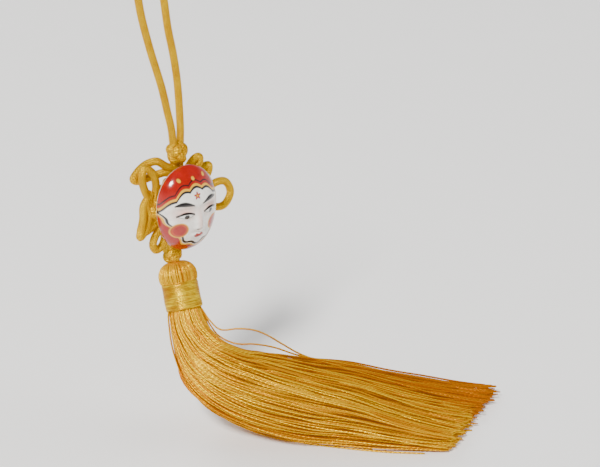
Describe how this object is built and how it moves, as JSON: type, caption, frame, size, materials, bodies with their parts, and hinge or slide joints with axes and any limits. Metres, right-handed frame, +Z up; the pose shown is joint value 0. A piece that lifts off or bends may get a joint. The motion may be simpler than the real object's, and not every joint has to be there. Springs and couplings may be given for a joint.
{
  "type": "chinese knot tassel",
  "caption": "Knotted cord pendant with a hanging loop, a woven knot behind a domed mask bead, and a long silky tassel whose skirt comes to rest on a level surface.",
  "frame": {"origin": "top of the hanging loop, on the centre of its cord, where a finger, hook or ring carries it", "axes": "+Z up, -Y the way the mask bead faces, +X to the right of someone who looks at the bead's face; the skirt sweeps 40 degrees from +X towards -Y and lies on a level surface 152.5 mm below the origin"},
  "size_m": [0.1036, 0.0876, 0.1535],
  "materials": {
    "satin_cord": "satin braided cord, yellow",
    "silk_thread": "fine twisted silky thread, golden yellow",
    "wound_thread": "silky thread wound close in a smooth band, yellow",
    "glazed_ceramic": "white glaze with painted red, black and yellow, glossy"
  },
  "bodies": {
    "root": {"hanging_loop": "satin_cord", "button_knot_top": "satin_cord", "pan_chang_knot": "satin_cord", "mask_bead": "glazed_ceramic", "button_knot_lower": "satin_cord", "tassel": "silk_thread", "head_binding": "wound_thread"}
  },
  "joints": []
}
